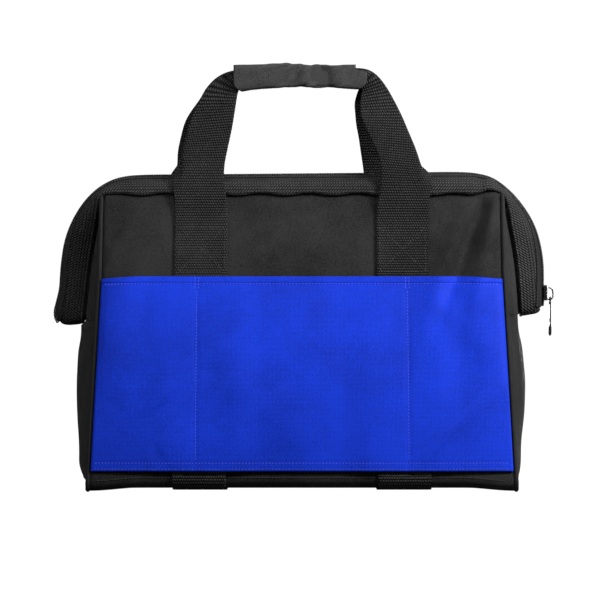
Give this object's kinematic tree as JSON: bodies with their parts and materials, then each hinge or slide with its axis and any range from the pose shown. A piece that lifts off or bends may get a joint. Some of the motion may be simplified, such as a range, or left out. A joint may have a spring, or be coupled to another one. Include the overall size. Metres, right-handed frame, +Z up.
{
  "type": "wide-mouth tool bag",
  "caption": "Zipped wide-mouth tool bag with a padded grip joining webbing handles, a full-width outside pocket and a hinged zipper pull.",
  "frame": {"origin": "on the floor under the middle of the bag", "axes": "+X along the bag towards the end with the zipper pull, -Y towards the front with the pocket, +Z up"},
  "size_m": [0.4801, 0.2139, 0.4056],
  "materials": {
    "black_canvas": "matt coated polyester canvas",
    "piping_cloth": "matt canvas over cord",
    "rim_webbing": "coarse twill webbing",
    "zipper_tape": "plain woven tape",
    "zipper_coil": "satin nylon",
    "zipper_metal": "satin black enamel",
    "handle_webbing": "ribbed webbing",
    "grip_canvas": "matt coated polyester canvas",
    "blue_canvas": "matt coated polyester canvas"
  },
  "bodies": {
    "bag": {"body_wrap": "black_canvas", "end_panel_left": "black_canvas", "end_panel_right": "black_canvas", "piping_left": "piping_cloth", "piping_right": "piping_cloth", "rim_webbing": "rim_webbing", "zipper_tape_front": "zipper_tape", "zipper_tape_back": "zipper_tape", "zipper_coil": "zipper_coil", "zipper_slider": "zipper_metal", "handle_strap_front": "handle_webbing", "handle_strap_back": "handle_webbing", "grip_wrap": "grip_canvas", "pocket_panel": "blue_canvas"},
    "pull": {"zipper_pull": "zipper_metal"}
  },
  "joints": [
    {"name": "pull_swing", "type": "hinge", "parent": "bag", "child": "pull", "pos_m": [0.23802, 0, 0.18207], "axis": [0, -1, 0], "range_deg": [-15, 130]}
  ]
}
